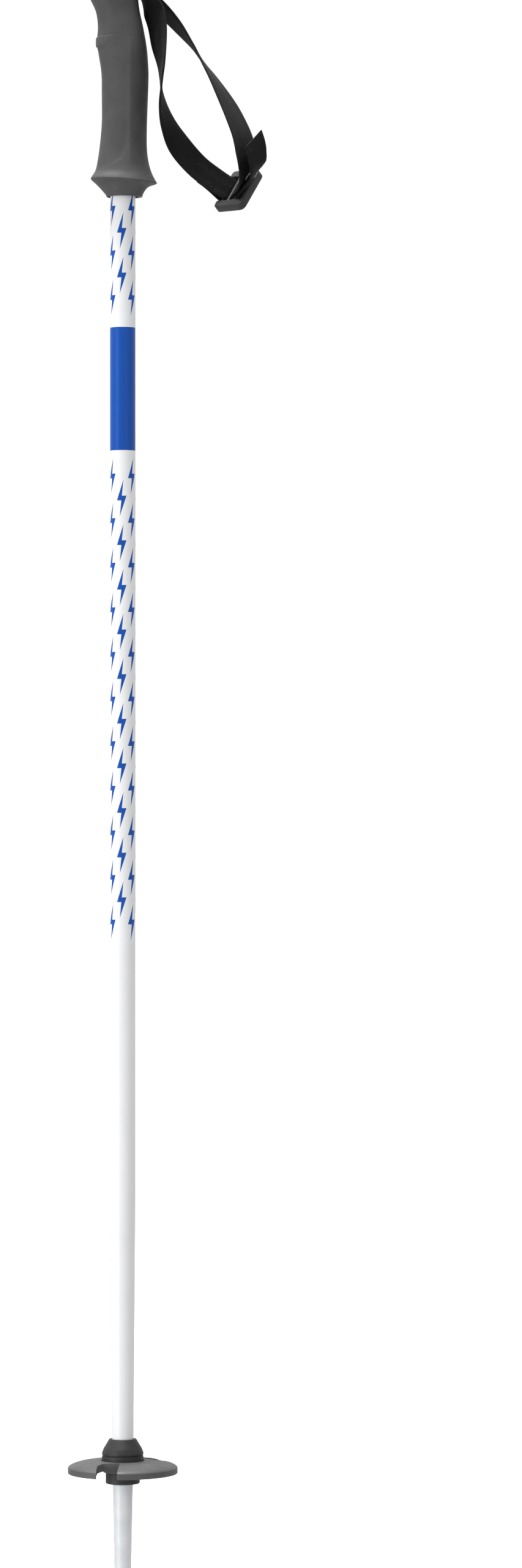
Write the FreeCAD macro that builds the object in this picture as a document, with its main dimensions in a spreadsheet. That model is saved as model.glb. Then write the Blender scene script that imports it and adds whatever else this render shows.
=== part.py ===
import FreeCAD, Part
import math
import os
import re
import Sketcher

# Alpine ski pole, millimetres, +Z up the shaft, -X the finger side of the grip, +X the strap side.
# The origin is the point of the steel tip, on the shaft's axis.

# Driving dimensions, kept in the sheet under these names.
SIZES = {
    # shaft tube
    "shaft_dia": 16.0,
    "tube_wall": 0.9,
    "tube_top_height": 1000.0,
    "taper_top_height": 265.0,
    "taper_foot_height": 111.4,
    "taper_foot_dia": 13.66,
    "stub_dia": 10.6,
    "stub_top_height": 108.5,
    "stub_foot_height": 70.0,
    # plug in the top of the tube
    "plug_depth": 15.0,
    "plug_rim": 1.5,
    "plug_hollow_dia": 9.0,
    # ferrule and tip
    "ferrule_foot_height": 9.5,
    "ferrule_top_height": 110.8,
    "ferrule_foot_dia": 10.3,
    "ferrule_taper_foot_height": 22.0,
    "ferrule_top_dia": 14.0,
    "ferrule_mouth_dia": 13.02,
    "tip_shank_dia": 5.0,
    "tip_shank_top_height": 24.0,
    "tip_flange_dia": 8.6,
    "tip_flange_height": 2.0,
    "tip_point_dia": 1.2,
    "tip_crown_dia": 4.4,
    "tip_crown_height": 2.0,
    # basket
    "seat_gap": 0.03,
    "hub_foot_height": 83.5,
    "hub_shelf_height": 90.5,
    "hub_top_height": 101.0,
    "hub_dia": 21.7,
    "hub_neck_dia": 18.0,
    "disc_bore_gap": 0.05,
    "disc_foot_height": 90.6,
    "disc_centre_top_height": 97.4,
    "disc_shoulder_dia": 27.2,
    "disc_shoulder_height": 98.0,
    "disc_edge_dia": 69.2,
    "disc_edge_top_height": 94.0,
    "disc_edge_foot_height": 89.9,
    "disc_dome_radius": 130.0,
    "disc_boss_dia": 25.0,
    "disc_boss_under_height": 94.0,
    "disc_lip_dia": 64.4,
    "disc_lip_under_height": 91.3,
    "notch_depth_radius": 15.8,
    "notch_turn": 140.0,
    "collar_foot_height": 97.5,
    "collar_band_top_height": 101.2,
    "collar_top_height": 111.5,
    "collar_band_dia": 26.3,
    "collar_band_top_dia": 25.7,
    "collar_top_dia": 16.5,
    "collar_side_radius": 30.0,
    # grip
    "grip_foot_height": 893.0,
    "grip_top_height": 1050.0,
    "core_foot_height": 896.0,
    "core_sleeve_dia": 19.6,
    "core_sleeve_top_height": 1004.0,
    "core_ear_top_height": 1034.5,
    "core_ear_back": 4.0,
    "core_ear_width": 22.0,
    "core_boss_top_height": 1036.0,
    "core_boss_front": -13.5,
    "core_boss_width": 12.0,
    "notch_width": 18.2,
    "notch_front": -3.5,
    "notch_floor_height": 1019.0,
    "cap_centre": -10.0,
    "cap_half_length": 6.0,
    "cap_half_width": 6.6,
    "cap_foot_height": 1045.0,
    "screw_dia": 3.5,
    "screw_head_dia": 6.6,
    "screw_head_height": 2.4,
    "screw_head_foot_height": 1047.0,
    "screw_foot_height": 1024.0,
    "drive_slot_width": 1.1,
    "drive_slot_length": 4.6,
    "drive_slot_depth": 1.4,
    # strap and its pin
    "pin_dia": 4.0,
    "pin_length": 22.0,
    "pin_centre": 1.5,
    "pin_height": 1030.0,
    "web_width": 17.0,
    "web_thick": 1.3,
    "eye_gap": 0.3,
    "free_end_slant": 8.0,
    # buckle
    "buckle_left": -12.7,
    "buckle_right": 9.8,
    "buckle_width": 31.0,
    "buckle_thick": 5.4,
    "buckle_corner": 4.2,
    "buckle_window": 20.0,
    "buckle_pin_dia": 3.4,
    "buckle_pin_place": -9.8,
    "end_gap_right": -4.6,
    "entry_slot_left": -2.4,
    "entry_slot_right": 0.4,
    "exit_slot_left": 3.4,
    "exit_slot_right": 7.0,
    "exit_rise": 0.8,
}

# Grip outline: height, finger side, strap side, half width across.
GRIP_NECK = (893.0, -10.4, 12.5, 11.2)
GRIP_RIM_FRONT = (-20.1, 904.2)
GRIP_RIM_BACK = (21.7, 901.6)
GRIP_RIM_HALF_WIDTH = 16.6
GRIP_STATIONS = [
    (909.0, -17.3, 18.2, 14.2),
    (915.5, -15.9, 16.2, 13.0),
    (925.0, -14.5, 15.2, 12.4),
    (940.0, -13.2, 15.3, 12.2),
    (956.0, -13.2, 15.9, 12.4),
    (970.0, -13.4, 16.3, 12.6),
    (981.5, -15.4, 15.7, 12.7),
    (989.0, -17.2, 14.9, 12.8),
    (1001.0, -15.8, 12.7, 12.9),
    (1009.5, -16.9, 10.8, 13.4),
    (1017.0, -20.2, 9.8, 14.4),
    (1026.0, -23.8, 9.5, 15.2),
    (1036.0, -24.0, 10.2, 15.0),
    (1044.0, -20.5, 8.5, 12.8),
    (1048.5, -15.5, 4.5, 8.6),
    (1050.0, -11.5, 0.5, 5.0),
]

# The buckle's own frame: its origin in the plate, direction along its rails, direction along its bars.
BUCKLE_CENTRE = (74.2, -5.8, 896.6)
BUCKLE_ALONG = (0.755, -0.655, 0.0)
BUCKLE_ACROSS = (0.41, 0.473, 0.78)

# Webbing: the middle of the band, then the direction across it.
NEAR_STRAND = [
    ((-0.5, 0.0, 1027.8), (0.0, 1.0, 0.0)),
    ((5.6, 0.0, 1024.2), (0.0, 1.0, 0.0)),
    ((11.6, -0.5, 1020.4), (-0.15, 0.98, -0.05)),
    ((18.9, -3.0, 1010.8), (-0.72, 0.68, -0.18)),
    ((21.8, -5.0, 1001.0), (-0.68, 0.73, -0.10)),
    ((23.1, -7.0, 988.5), (-0.55, 0.84, 0.0)),
    ((24.5, -8.4, 976.0), (-0.27, 0.96, 0.0)),
    ((24.6, -8.9, 967.0), (-0.10, 0.99, 0.0)),
    ((24.6, -9.0, 959.5), (0.01, 1.0, 0.0)),
    ((25.9, -8.6, 948.5), (0.30, 0.95, 0.05)),
    ((29.4, -7.5, 936.8), (0.58, 0.80, 0.20)),
    ((36.2, -5.6, 924.2), (0.70, 0.46, 0.50)),
    ((46.8, -3.6, 912.2), (0.59, 0.42, 0.70)),
    ((57.4, -2.4, 904.2), (0.47, 0.44, 0.77)),
]
FAR_STRAND = [
    ((3.6, 0.0, 1032.0), (0.0, 1.0, 0.0)),
    ((8.2, 0.0, 1027.6), (0.0, 1.0, 0.0)),
    ((13.6, 0.5, 1022.6), (-0.10, 0.99, -0.05)),
    ((22.4, 2.0, 1013.9), (-0.28, 0.92, -0.28)),
    ((33.9, 3.0, 1001.6), (-0.24, 0.95, -0.19)),
    ((43.4, 1.5, 989.4), (-0.05, 1.0, -0.03)),
    ((49.3, -1.0, 980.0), (0.05, 1.0, 0.03)),
    ((57.2, -6.0, 967.4), (0.23, 0.96, 0.14)),
    ((65.5, -12.0, 952.2), (0.45, 0.86, 0.23)),
    ((71.2, -17.0, 939.9), (0.58, 0.78, 0.24)),
    ((75.8, -20.8, 927.6), (0.64, 0.71, 0.28)),
    ((78.2, -22.6, 914.6), (0.60, 0.62, 0.50)),
    ((77.8, -19.6, 906.4), (0.51, 0.53, 0.68)),
    ((75.4, -14.0, 901.2), (0.43, 0.48, 0.76)),
]
FREE_END = [
    ((82.6, -19.2, 904.4), (0.46, 0.50, 0.73)),
    ((84.9, -24.0, 910.0), (0.53, 0.58, 0.62)),
    ((84.6, -26.0, 917.2), (0.63, 0.65, 0.43)),
    ((83.4, -26.6, 923.4), (0.66, 0.62, 0.42)),
    ((81.2, -27.0, 930.4), (0.66, 0.62, 0.40)),
]

doc = FreeCAD.newDocument("ski_pole")
sheet = doc.addObject("Spreadsheet::Sheet", "Sizes")
for row, (name, value) in enumerate(SIZES.items(), start=1):
    sheet.set(f"A{row}", name)
    sheet.set(f"B{row}", str(value))
    sheet.setAlias(f"B{row}", name)
doc.recompute()

Z_AXIS = FreeCAD.Vector(0, 0, 1)


def size(name):
    """A driving dimension, read back from the sheet."""
    return float(sheet.get(name))


def value_of(formula):
    """The number that a sheet formula gives."""
    return float(sheet.evalExpression(formula))


def new_body(label):
    """An empty PartDesign body whose label is its node's name."""
    body = doc.addObject("PartDesign::Body", label)
    body.Label = label
    return body


def origin_plane(body, role):
    """One of the body's own origin planes."""
    for feature in body.Origin.OriginFeatures:
        if feature.Role == role:
            return feature
    raise ValueError(role)


def new_sketch(body, name, role):
    """A sketch on one of the body's origin planes."""
    sketch = body.newObject("Sketcher::SketchObject", name)
    sketch.AttachmentSupport = [(origin_plane(body, role), "")]
    sketch.MapMode = "FlatFace"
    return sketch


def arc_through(start, end, radius):
    """The short arc of that radius between two points, its crown on the right of the way there."""
    chord = end - start
    rise = math.sqrt(radius * radius - (chord.Length / 2) ** 2)
    right = FreeCAD.Vector(chord.y, -chord.x, 0).normalize()
    centre = (start + end) * 0.5 - right * rise
    return Part.Arc(start, centre + right * radius, end)


def end_of(sketch, edge, point):
    """Which end of a sketch edge, 1 or 2, lies at the point."""
    if sketch.getPoint(edge, 1).distanceToPoint(point) < 1e-6:
        return 1
    return 2


def outline(sketch, corners):
    """A closed outline, bound to the sheet: (across, up) or (across, up, radius of the edge from there)."""
    points = [FreeCAD.Vector(value_of(corner[0]), value_of(corner[1]), 0) for corner in corners]
    edges = []
    for index, corner in enumerate(corners):
        start = points[index]
        end = points[(index + 1) % len(points)]
        if len(corner) > 2:
            edges.append(sketch.addGeometry(arc_through(start, end, value_of(corner[2]))))
        else:
            edges.append(sketch.addGeometry(Part.LineSegment(start, end)))
    for index, corner in enumerate(corners):
        point = points[index]
        edge = edges[index]
        before = edges[index - 1]
        here = end_of(sketch, edge, point)
        there = end_of(sketch, before, point)
        sketch.addConstraint(Sketcher.Constraint("Coincident", before, there, edge, here))
        for kind, value, formula in (("DistanceX", point.x, corner[0]), ("DistanceY", point.y, corner[1])):
            number = sketch.addConstraint(Sketcher.Constraint(kind, -1, 1, edge, here, value))
            sketch.setExpression(f"Constraints[{number}]", in_sheet(formula))
        if len(corner) > 2:
            radius = value_of(corner[2])
            number = sketch.addConstraint(Sketcher.Constraint("Radius", edge, radius))
            sketch.setExpression(f"Constraints[{number}]", in_sheet(corner[2]))


def in_sheet(formula):
    """The same formula with each of its names looked up in the sheet."""
    return re.sub(r"[a-z]+(_[a-z]+)+", lambda found: "Sizes." + found.group(0), formula)


def circle(sketch, radius, across="0", up="0"):
    """A circle bound to the sheet."""
    centre = FreeCAD.Vector(value_of(across), value_of(up), 0)
    edge = sketch.addGeometry(Part.Circle(centre, Z_AXIS, value_of(radius)))
    for kind, value, formula in (("DistanceX", centre.x, across), ("DistanceY", centre.y, up)):
        number = sketch.addConstraint(Sketcher.Constraint(kind, -1, 1, edge, 3, value))
        sketch.setExpression(f"Constraints[{number}]", in_sheet(formula))
    number = sketch.addConstraint(Sketcher.Constraint("Radius", edge, value_of(radius)))
    sketch.setExpression(f"Constraints[{number}]", in_sheet(radius))


def turned(label, corners):
    """A body turned about Z from an outline of radii and heights."""
    body = new_body(label)
    sketch = new_sketch(body, label + "_outline", "XZ_Plane")
    outline(sketch, corners)
    turn = body.newObject("PartDesign::Revolution", label + "_turn")
    turn.Profile = sketch
    turn.ReferenceAxis = (sketch, ["V_Axis"])
    turn.Angle = 360.0
    doc.recompute()
    return body


def pocket(body, sketch, name):
    """A pocket through the whole body, both ways, checked to remove something."""
    before = body.Shape.Volume
    cut = body.newObject("PartDesign::Pocket", name)
    cut.Profile = sketch
    cut.Type = "ThroughAll"
    cut.Midplane = True
    doc.recompute()
    if body.Shape.Volume > before - 1e-3:
        raise ValueError(name + " removes nothing")
    return cut


def solid_feature(label, shape):
    """A plain feature that holds a finished solid."""
    feature = doc.addObject("Part::Feature", label)
    feature.Label = label
    feature.Shape = shape
    return feature


def rod(radius, foot, top, across=0.0):
    """An upright cylinder between two heights."""
    base = FreeCAD.Vector(across, 0, foot)
    return Part.makeCylinder(radius, top - foot, base, Z_AXIS)


def box(low, high):
    """A box from its lowest to its highest corner."""
    low = FreeCAD.Vector(*low)
    high = FreeCAD.Vector(*high)
    span = high - low
    return Part.makeBox(span.x, span.y, span.z, low)


def cross_rod(radius, length, centre, direction):
    """A cylinder centred on a point, along a direction."""
    direction = FreeCAD.Vector(*direction).normalize()
    base = FreeCAD.Vector(*centre) - direction * (length / 2)
    return Part.makeCylinder(radius, length, base, direction)


# Shaft


def shaft_tube():
    """The aluminium tube: straight, then tapering, with a swaged stub for the ferrule."""
    return turned("shaft_tube", [
        ("stub_dia / 2 - tube_wall", "stub_foot_height"),
        ("stub_dia / 2", "stub_foot_height"),
        ("stub_dia / 2", "stub_top_height"),
        ("taper_foot_dia / 2", "taper_foot_height"),
        ("shaft_dia / 2", "taper_top_height"),
        ("shaft_dia / 2", "tube_top_height"),
        ("shaft_dia / 2 - tube_wall", "tube_top_height"),
        ("shaft_dia / 2 - tube_wall", "taper_top_height"),
        ("taper_foot_dia / 2 - tube_wall", "taper_foot_height"),
        ("stub_dia / 2 - tube_wall", "stub_top_height"),
    ])


def tube_plug():
    """The plastic plug in the tube's top end."""
    return turned("tube_plug", [
        ("plug_hollow_dia / 2", "tube_top_height - plug_depth"),
        ("shaft_dia / 2 - tube_wall", "tube_top_height - plug_depth"),
        ("shaft_dia / 2 - tube_wall", "tube_top_height"),
        ("shaft_dia / 2", "tube_top_height"),
        ("shaft_dia / 2", "tube_top_height + plug_rim"),
        ("0", "tube_top_height + plug_rim"),
        ("0", "tube_top_height - plug_rim"),
        ("plug_hollow_dia / 2", "tube_top_height - plug_rim"),
    ])


def ferrule():
    """The white tip holder, glued over the tube's stub, with a socket for the steel tip."""
    return turned("ferrule", [
        ("tip_shank_dia / 2", "ferrule_foot_height"),
        ("ferrule_foot_dia / 2", "ferrule_foot_height"),
        ("ferrule_foot_dia / 2", "ferrule_taper_foot_height"),
        ("ferrule_top_dia / 2", "ferrule_top_height"),
        ("ferrule_mouth_dia / 2", "ferrule_top_height"),
        ("stub_dia / 2", "stub_top_height"),
        ("stub_dia / 2", "stub_foot_height"),
        ("0", "stub_foot_height"),
        ("0", "tip_shank_top_height"),
        ("tip_shank_dia / 2", "tip_shank_top_height"),
    ])


def tip_insert():
    """The steel tip: a shank in the ferrule, a flange and a blunt cone."""
    return turned("tip_insert", [
        ("0", "0"),
        ("tip_point_dia / 2", "0"),
        ("tip_crown_dia / 2", "tip_crown_height"),
        ("tip_flange_dia / 2", "ferrule_foot_height - tip_flange_height"),
        ("tip_flange_dia / 2", "ferrule_foot_height"),
        ("tip_shank_dia / 2", "ferrule_foot_height"),
        ("tip_shank_dia / 2", "tip_shank_top_height"),
        ("0", "tip_shank_top_height"),
    ])


# Basket


def seat_radius(height):
    """Formula of the basket's bore at a height: the ferrule's taper with a small gap."""
    slope = "(ferrule_top_dia - ferrule_foot_dia) / 2 / (ferrule_top_height - ferrule_taper_foot_height)"
    return f"ferrule_foot_dia / 2 + ({height} - ferrule_taper_foot_height) * {slope} + seat_gap"


def basket_hub():
    """The hub: a sleeve on the ferrule with a shelf under the disc and a neck through it."""
    return turned("basket_hub", [
        (seat_radius("hub_foot_height"), "hub_foot_height"),
        ("hub_dia / 2", "hub_foot_height"),
        ("hub_dia / 2", "hub_shelf_height"),
        ("hub_neck_dia / 2", "hub_shelf_height"),
        ("hub_neck_dia / 2", "hub_top_height"),
        (seat_radius("hub_top_height"), "hub_top_height"),
    ])


def basket_collar():
    """The cone on top of the disc, pressed over the hub's neck."""
    return turned("basket_collar", [
        ("hub_neck_dia / 2", "collar_foot_height"),
        ("collar_band_dia / 2", "collar_foot_height"),
        ("collar_band_dia / 2", "collar_band_top_height"),
        ("collar_band_top_dia / 2", "collar_band_top_height + 0.6", "collar_side_radius"),
        ("collar_top_dia / 2", "collar_top_height"),
        (seat_radius("collar_top_height"), "collar_top_height"),
        (seat_radius("hub_top_height"), "hub_top_height"),
        ("hub_neck_dia / 2", "hub_top_height"),
    ])


def basket_disc():
    """The snow disc: domed on top, hollow below, with two notches in from its edge."""
    body = turned("basket_disc", [
        ("hub_neck_dia / 2 + disc_bore_gap", "disc_foot_height"),
        ("disc_boss_dia / 2", "disc_foot_height"),
        ("disc_boss_dia / 2", "disc_boss_under_height"),
        ("disc_lip_dia / 2", "disc_lip_under_height"),
        ("disc_lip_dia / 2", "disc_edge_foot_height"),
        ("disc_edge_dia / 2", "disc_edge_foot_height"),
        ("disc_edge_dia / 2", "disc_edge_top_height", "disc_dome_radius"),
        ("disc_shoulder_dia / 2", "disc_shoulder_height"),
        ("disc_shoulder_dia / 2", "disc_centre_top_height"),
        ("hub_neck_dia / 2 + disc_bore_gap", "disc_centre_top_height"),
    ])
    sketch = new_sketch(body, "edge_notch", "XY_Plane")
    outline(sketch, [
        ("-1", "-notch_depth_radius"),
        ("-3.2", "-disc_edge_dia / 2 - 5"),
        ("-16.6", "-disc_edge_dia / 2 - 5"),
        ("-15.3", "-20.5"),
        ("-11.5", "-notch_depth_radius"),
    ])
    notch = pocket(body, sketch, "front_notch")
    pattern = body.newObject("PartDesign::PolarPattern", "both_notches")
    pattern.Originals = [notch]
    pattern.Axis = (sketch, ["N_Axis"])
    pattern.Mode = "Spacing"
    pattern.Offset = size("notch_turn")
    pattern.Occurrences = 2
    body.Tip = pattern
    doc.recompute()
    return body


# Grip


def grip_section(height, front, back, half_width):
    """One level ellipse of the grip's outline."""
    centre = FreeCAD.Vector((front + back) / 2, 0, height)
    half_length = (back - front) / 2
    along = FreeCAD.Vector(1, 0, 0)
    if half_length < half_width:
        edge = Part.Ellipse(centre + FreeCAD.Vector(0, half_width, 0),
                            centre - along * half_length, centre)
    else:
        edge = Part.Ellipse(centre + along * half_length,
                            centre + FreeCAD.Vector(0, half_width, 0), centre)
    return Part.Wire([edge.toShape()])


def rim_section():
    """The tilted ellipse of the rim under the hand."""
    front = FreeCAD.Vector(GRIP_RIM_FRONT[0], 0, GRIP_RIM_FRONT[1])
    back = FreeCAD.Vector(GRIP_RIM_BACK[0], 0, GRIP_RIM_BACK[1])
    centre = (front + back) * 0.5
    across = centre + FreeCAD.Vector(0, GRIP_RIM_HALF_WIDTH, 0)
    return Part.Wire([Part.Ellipse(back, across, centre).toShape()])


def grip_outside():
    """The grip's whole outer form as one solid: a flared skirt, then the hand and the head."""
    skirt = Part.makeLoft([grip_section(*GRIP_NECK), rim_section()], True, True)
    hand = Part.makeLoft([rim_section()] + [grip_section(*station) for station in GRIP_STATIONS], True, True)
    return skirt.fuse(hand).removeSplitter()


def strap_notch():
    """The notch in the head's back that the strap swings in, open upwards."""
    half = size("notch_width") / 2
    return box((size("notch_front"), -half, size("notch_floor_height")), (40, half, 1070))


def core_outside():
    """The outer form of the grip's hard core, before its bores."""
    shoulder = size("core_sleeve_top_height")
    ear_half = size("core_ear_width") / 2
    boss_half = size("core_boss_width") / 2
    sleeve = rod(size("core_sleeve_dia") / 2, size("core_foot_height"), shoulder)
    ears = box((size("notch_front"), -ear_half, shoulder),
               (size("core_ear_back"), ear_half, size("core_ear_top_height")))
    boss = box((size("core_boss_front"), -boss_half, shoulder),
               (size("notch_front"), boss_half, size("core_boss_top_height")))
    return sleeve.fuse([ears, boss])


def cap_prism():
    """The upright oval that the cap is cut from."""
    centre = FreeCAD.Vector(size("cap_centre"), 0, size("cap_foot_height"))
    across = centre + FreeCAD.Vector(0, size("cap_half_width"), 0)
    along = centre + FreeCAD.Vector(size("cap_half_length"), 0, 0)
    oval = Part.Ellipse(across, along, centre)
    face = Part.Face(Part.Wire([oval.toShape()]))
    return face.extrude(FreeCAD.Vector(0, 0, 20))


def screw_shape():
    """The cap screw with its cross drive."""
    across = size("cap_centre")
    foot = size("screw_head_foot_height")
    top = foot + size("screw_head_height")
    shank = rod(size("screw_dia") / 2, size("screw_foot_height"), foot, across)
    head = rod(size("screw_head_dia") / 2, foot, top, across)
    long_half = size("drive_slot_length") / 2
    short_half = size("drive_slot_width") / 2
    floor = top - size("drive_slot_depth")
    slot = box((across - long_half, -short_half, floor), (across + long_half, short_half, top))
    cross = box((across - short_half, -long_half, floor), (across + short_half, long_half, top))
    return shank.fuse(head).removeSplitter().cut(slot.fuse(cross))


def screw_clearance():
    """The space that the screw and a driver need in the cap and the core."""
    across = size("cap_centre")
    foot = size("screw_head_foot_height")
    shank = rod(size("screw_dia") / 2, size("screw_foot_height"), foot, across)
    head = rod(size("screw_head_dia") / 2, foot, foot + 10, across)
    return shank.fuse(head)


def grip_parts():
    """The core, the rubber body around it, the cap and its screw."""
    outside = grip_outside()
    core = core_outside()
    notch = strap_notch()
    bore = rod(size("shaft_dia") / 2, 880, size("tube_top_height") + size("plug_rim"))
    pin_hole = cross_rod(size("pin_dia") / 2, 60, PIN_PLACE, (0, 1, 0))
    prism = cap_prism()
    screw = screw_clearance()
    solid_feature("grip_core", core.cut(bore).cut(notch).cut(pin_hole).cut(screw))
    body = outside.cut(core).cut(bore).cut(notch).cut(prism).cut(screw)
    pin_room = cross_rod(size("pin_dia") / 2, size("pin_length"), PIN_PLACE, (0, 1, 0))
    solid_feature("grip_body", body.cut(pin_room))
    solid_feature("grip_cap", outside.common(prism).cut(notch).cut(screw))
    solid_feature("cap_screw", screw_shape())


# Strap


def unit(direction):
    """The direction at length one."""
    return FreeCAD.Vector(*direction).normalize()


def web_section(place, way, across):
    """The webbing's oblong section at a place, square to its way."""
    side = across - way * across.dot(way)
    side.normalize()
    face = way.cross(side)
    half_width = side * (size("web_width") / 2)
    half_thick = face * (size("web_thick") / 2)
    corners = [place - half_width - half_thick, place + half_width - half_thick,
               place + half_width + half_thick, place - half_width + half_thick]
    return Part.makePolygon(corners + corners[:1])


def webbing(stations, straight_spans=False):
    """A solid band through stations, each its middle and its direction across."""
    places = [FreeCAD.Vector(*station[0]) for station in stations]
    sections = []
    for index, (place, station) in enumerate(zip(places, stations)):
        before = places[max(index - 1, 0)]
        after = places[min(index + 1, len(places) - 1)]
        way = (after - before).normalize()
        sections.append(web_section(place, way, unit(station[1])))
    return Part.makeLoft(sections, True, straight_spans)


def eye(pin_radius, centre, direction):
    """The webbing's sewn eye round a pin."""
    inner = pin_radius + size("eye_gap")
    outer = inner + size("web_thick")
    ring = cross_rod(outer, size("web_width"), centre, direction)
    return ring.cut(cross_rod(inner, 2 * size("web_width"), centre, direction))


def buckle_point(along, across, above):
    """A place given in the buckle's own frame."""
    middle = FreeCAD.Vector(*BUCKLE_CENTRE)
    return middle + ALONG * along + ACROSS * across + ABOVE * above


def wrist_strap():
    """The hand loop: an eye on the pin, two strands and the sewn eye on the buckle's end bar."""
    pin_eye = eye(size("pin_dia") / 2, PIN_PLACE, (0, 1, 0))
    bar_radius = size("buckle_pin_dia") / 2
    bar_place = buckle_point(size("buckle_pin_place"), 0, 0)
    bar_eye = eye(bar_radius, bar_place, ACROSS)
    reach = bar_radius + size("eye_gap") + size("web_thick") / 2
    landing = bar_place + (ALONG + ABOVE).normalize() * reach
    near = webbing(NEAR_STRAND + [(tuple(landing), BUCKLE_ACROSS)])
    far = webbing(FAR_STRAND)
    return solid_feature("wrist_strap", pin_eye.fuse([near, far, bar_eye]).removeSplitter())


def strap_tail():
    """The webbing's turn round the buckle's thin bar and its loose end, cut on the slant."""
    face = size("buckle_thick") / 2
    entry = (size("entry_slot_left") + size("entry_slot_right")) / 2
    way_out = (size("exit_slot_left") + size("exit_slot_right")) / 2
    radius = (way_out - entry) / 2
    middle = (entry + way_out) / 2
    route = [(entry, face)]
    for degrees in range(180, 361, 30):
        angle = math.radians(degrees)
        route.append((middle + radius * math.cos(angle), radius * math.sin(angle) - face))
    route.append((way_out, face + size("exit_rise")))
    stations = [(tuple(buckle_point(along, 0, above)), BUCKLE_ACROSS) for along, above in route]
    band = webbing(stations + FREE_END, True)
    corner = FreeCAD.Vector(*FREE_END[-1][0]) + unit(FREE_END[-1][1]) * (size("web_width") / 2)
    return solid_feature("strap_tail", band.cut(slant_cutter(corner)))


def slant_cutter(corner):
    """A block that trims the loose end: its -across edge comes out shorter by the slant."""
    place = FreeCAD.Vector(*FREE_END[-1][0])
    before = FreeCAD.Vector(*FREE_END[-2][0])
    way = (place - before).normalize()
    side = unit(FREE_END[-1][1])
    side = (side - way * side.dot(way)).normalize()
    normal = (way * size("web_width") - side * size("free_end_slant")).normalize()
    block = Part.makeBox(60, 60, 40, FreeCAD.Vector(-30, -30, 0))
    block.Placement = FreeCAD.Placement(corner, FreeCAD.Rotation(Z_AXIS, normal))
    return block


def buckle_placement():
    """Where the buckle's own frame sits."""
    matrix = FreeCAD.Matrix(
        ALONG.x, ACROSS.x, ABOVE.x, BUCKLE_CENTRE[0],
        ALONG.y, ACROSS.y, ABOVE.y, BUCKLE_CENTRE[1],
        ALONG.z, ACROSS.z, ABOVE.z, BUCKLE_CENTRE[2],
        0, 0, 0, 1)
    return FreeCAD.Placement(matrix)


def rounded_rectangle(sketch, left, right, half):
    """Four corners of a rectangle, the same distance either side of the middle line."""
    outline(sketch, [(left, f"-({half})"), (right, f"-({half})"), (right, half), (left, half)])


def strap_buckle():
    """The moulded ladder buckle: two rails, a round end bar, a crossbar, a thin bar and a thumb tab."""
    body = new_body("strap_buckle")
    plate = new_sketch(body, "plate", "XY_Plane")
    rounded_rectangle(plate, "buckle_left", "buckle_right", "buckle_width / 2")
    pad = body.newObject("PartDesign::Pad", "plate_pad")
    pad.Profile = plate
    pad.setExpression("Length", "Sizes.buckle_thick")
    pad.Midplane = True
    doc.recompute()
    rounded = body.newObject("PartDesign::Fillet", "plate_corners")
    upright = [f"Edge{number + 1}" for number, edge in enumerate(pad.Shape.Edges)
               if abs(edge.tangentAt(edge.FirstParameter).z) > 0.99]
    rounded.Base = (pad, upright)
    rounded.setExpression("Radius", "Sizes.buckle_corner")
    doc.recompute()
    slots = {
        "end_gap": ("buckle_left - 1", "end_gap_right"),
        "entry_slot": ("entry_slot_left", "entry_slot_right"),
        "exit_slot": ("exit_slot_left", "exit_slot_right"),
    }
    for name, (left, right) in slots.items():
        sketch = new_sketch(body, name + "_outline", "XY_Plane")
        rounded_rectangle(sketch, left, right, "buckle_window / 2")
        pocket(body, sketch, name)
    section = new_sketch(body, "end_bar_section", "XZ_Plane")
    circle(section, "buckle_pin_dia / 2", "buckle_pin_place", "0")
    bar = body.newObject("PartDesign::Pad", "end_bar")
    bar.Profile = section
    bar.setExpression("Length", "Sizes.buckle_width - 1")
    bar.Midplane = True
    doc.recompute()
    body.Placement = buckle_placement()
    return body


def strap_pin():
    """The steel cross pin that the strap hangs on."""
    return solid_feature("strap_pin", cross_rod(size("pin_dia") / 2, size("pin_length"), PIN_PLACE, (0, 1, 0)))


def write_parts():
    """Check every object, then write each sub-part's file."""
    doc.recompute()
    for thing in doc.Objects:
        if "Invalid" in thing.State or "Error" in thing.State:
            raise ValueError(f"{thing.Label}: {thing.State}")
    os.makedirs("parts", exist_ok=True)
    for thing in doc.Objects:
        is_feature = thing.TypeId == "Part::Feature"
        is_body = thing.TypeId == "PartDesign::Body"
        if is_feature or is_body:
            shape = thing.Shape
            if shape.isNull() or not shape.isValid() or len(shape.Solids) != 1:
                raise ValueError(f"{thing.Label}: {len(shape.Solids)} solids, valid {shape.isValid()}")
            shape.exportStep(f"parts/{thing.Label}.step")
            box_of = shape.BoundBox
            print(f"{thing.Label:14s} {shape.Volume:10.1f} mm3  "
                  f"x {box_of.XMin:.1f}..{box_of.XMax:.1f}  y {box_of.YMin:.1f}..{box_of.YMax:.1f}  "
                  f"z {box_of.ZMin:.1f}..{box_of.ZMax:.1f}")


PIN_PLACE = (size("pin_centre"), 0.0, size("pin_height"))
ALONG = unit(BUCKLE_ALONG)
ACROSS = unit(BUCKLE_ACROSS)
ACROSS = (ACROSS - ALONG * ACROSS.dot(ALONG)).normalize()
ABOVE = ALONG.cross(ACROSS)

shaft_tube()
tube_plug()
ferrule()
tip_insert()
basket_hub()
basket_collar()
basket_disc()
grip_parts()
strap_pin()
wrist_strap()
strap_buckle()
strap_tail()
write_parts()
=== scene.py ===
"""The looks of an alpine ski pole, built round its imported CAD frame.

The frame is in metres with Z up.  The tip's point is the origin, the finger side of the grip faces -X
and the wrist strap hangs towards +X.  Shape sizes below are in millimetres, and MM turns them to metres.
"""
import math

import bmesh
import bpy
from mathutils import Matrix, Vector
from mathutils.bvhtree import BVHTree


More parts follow.
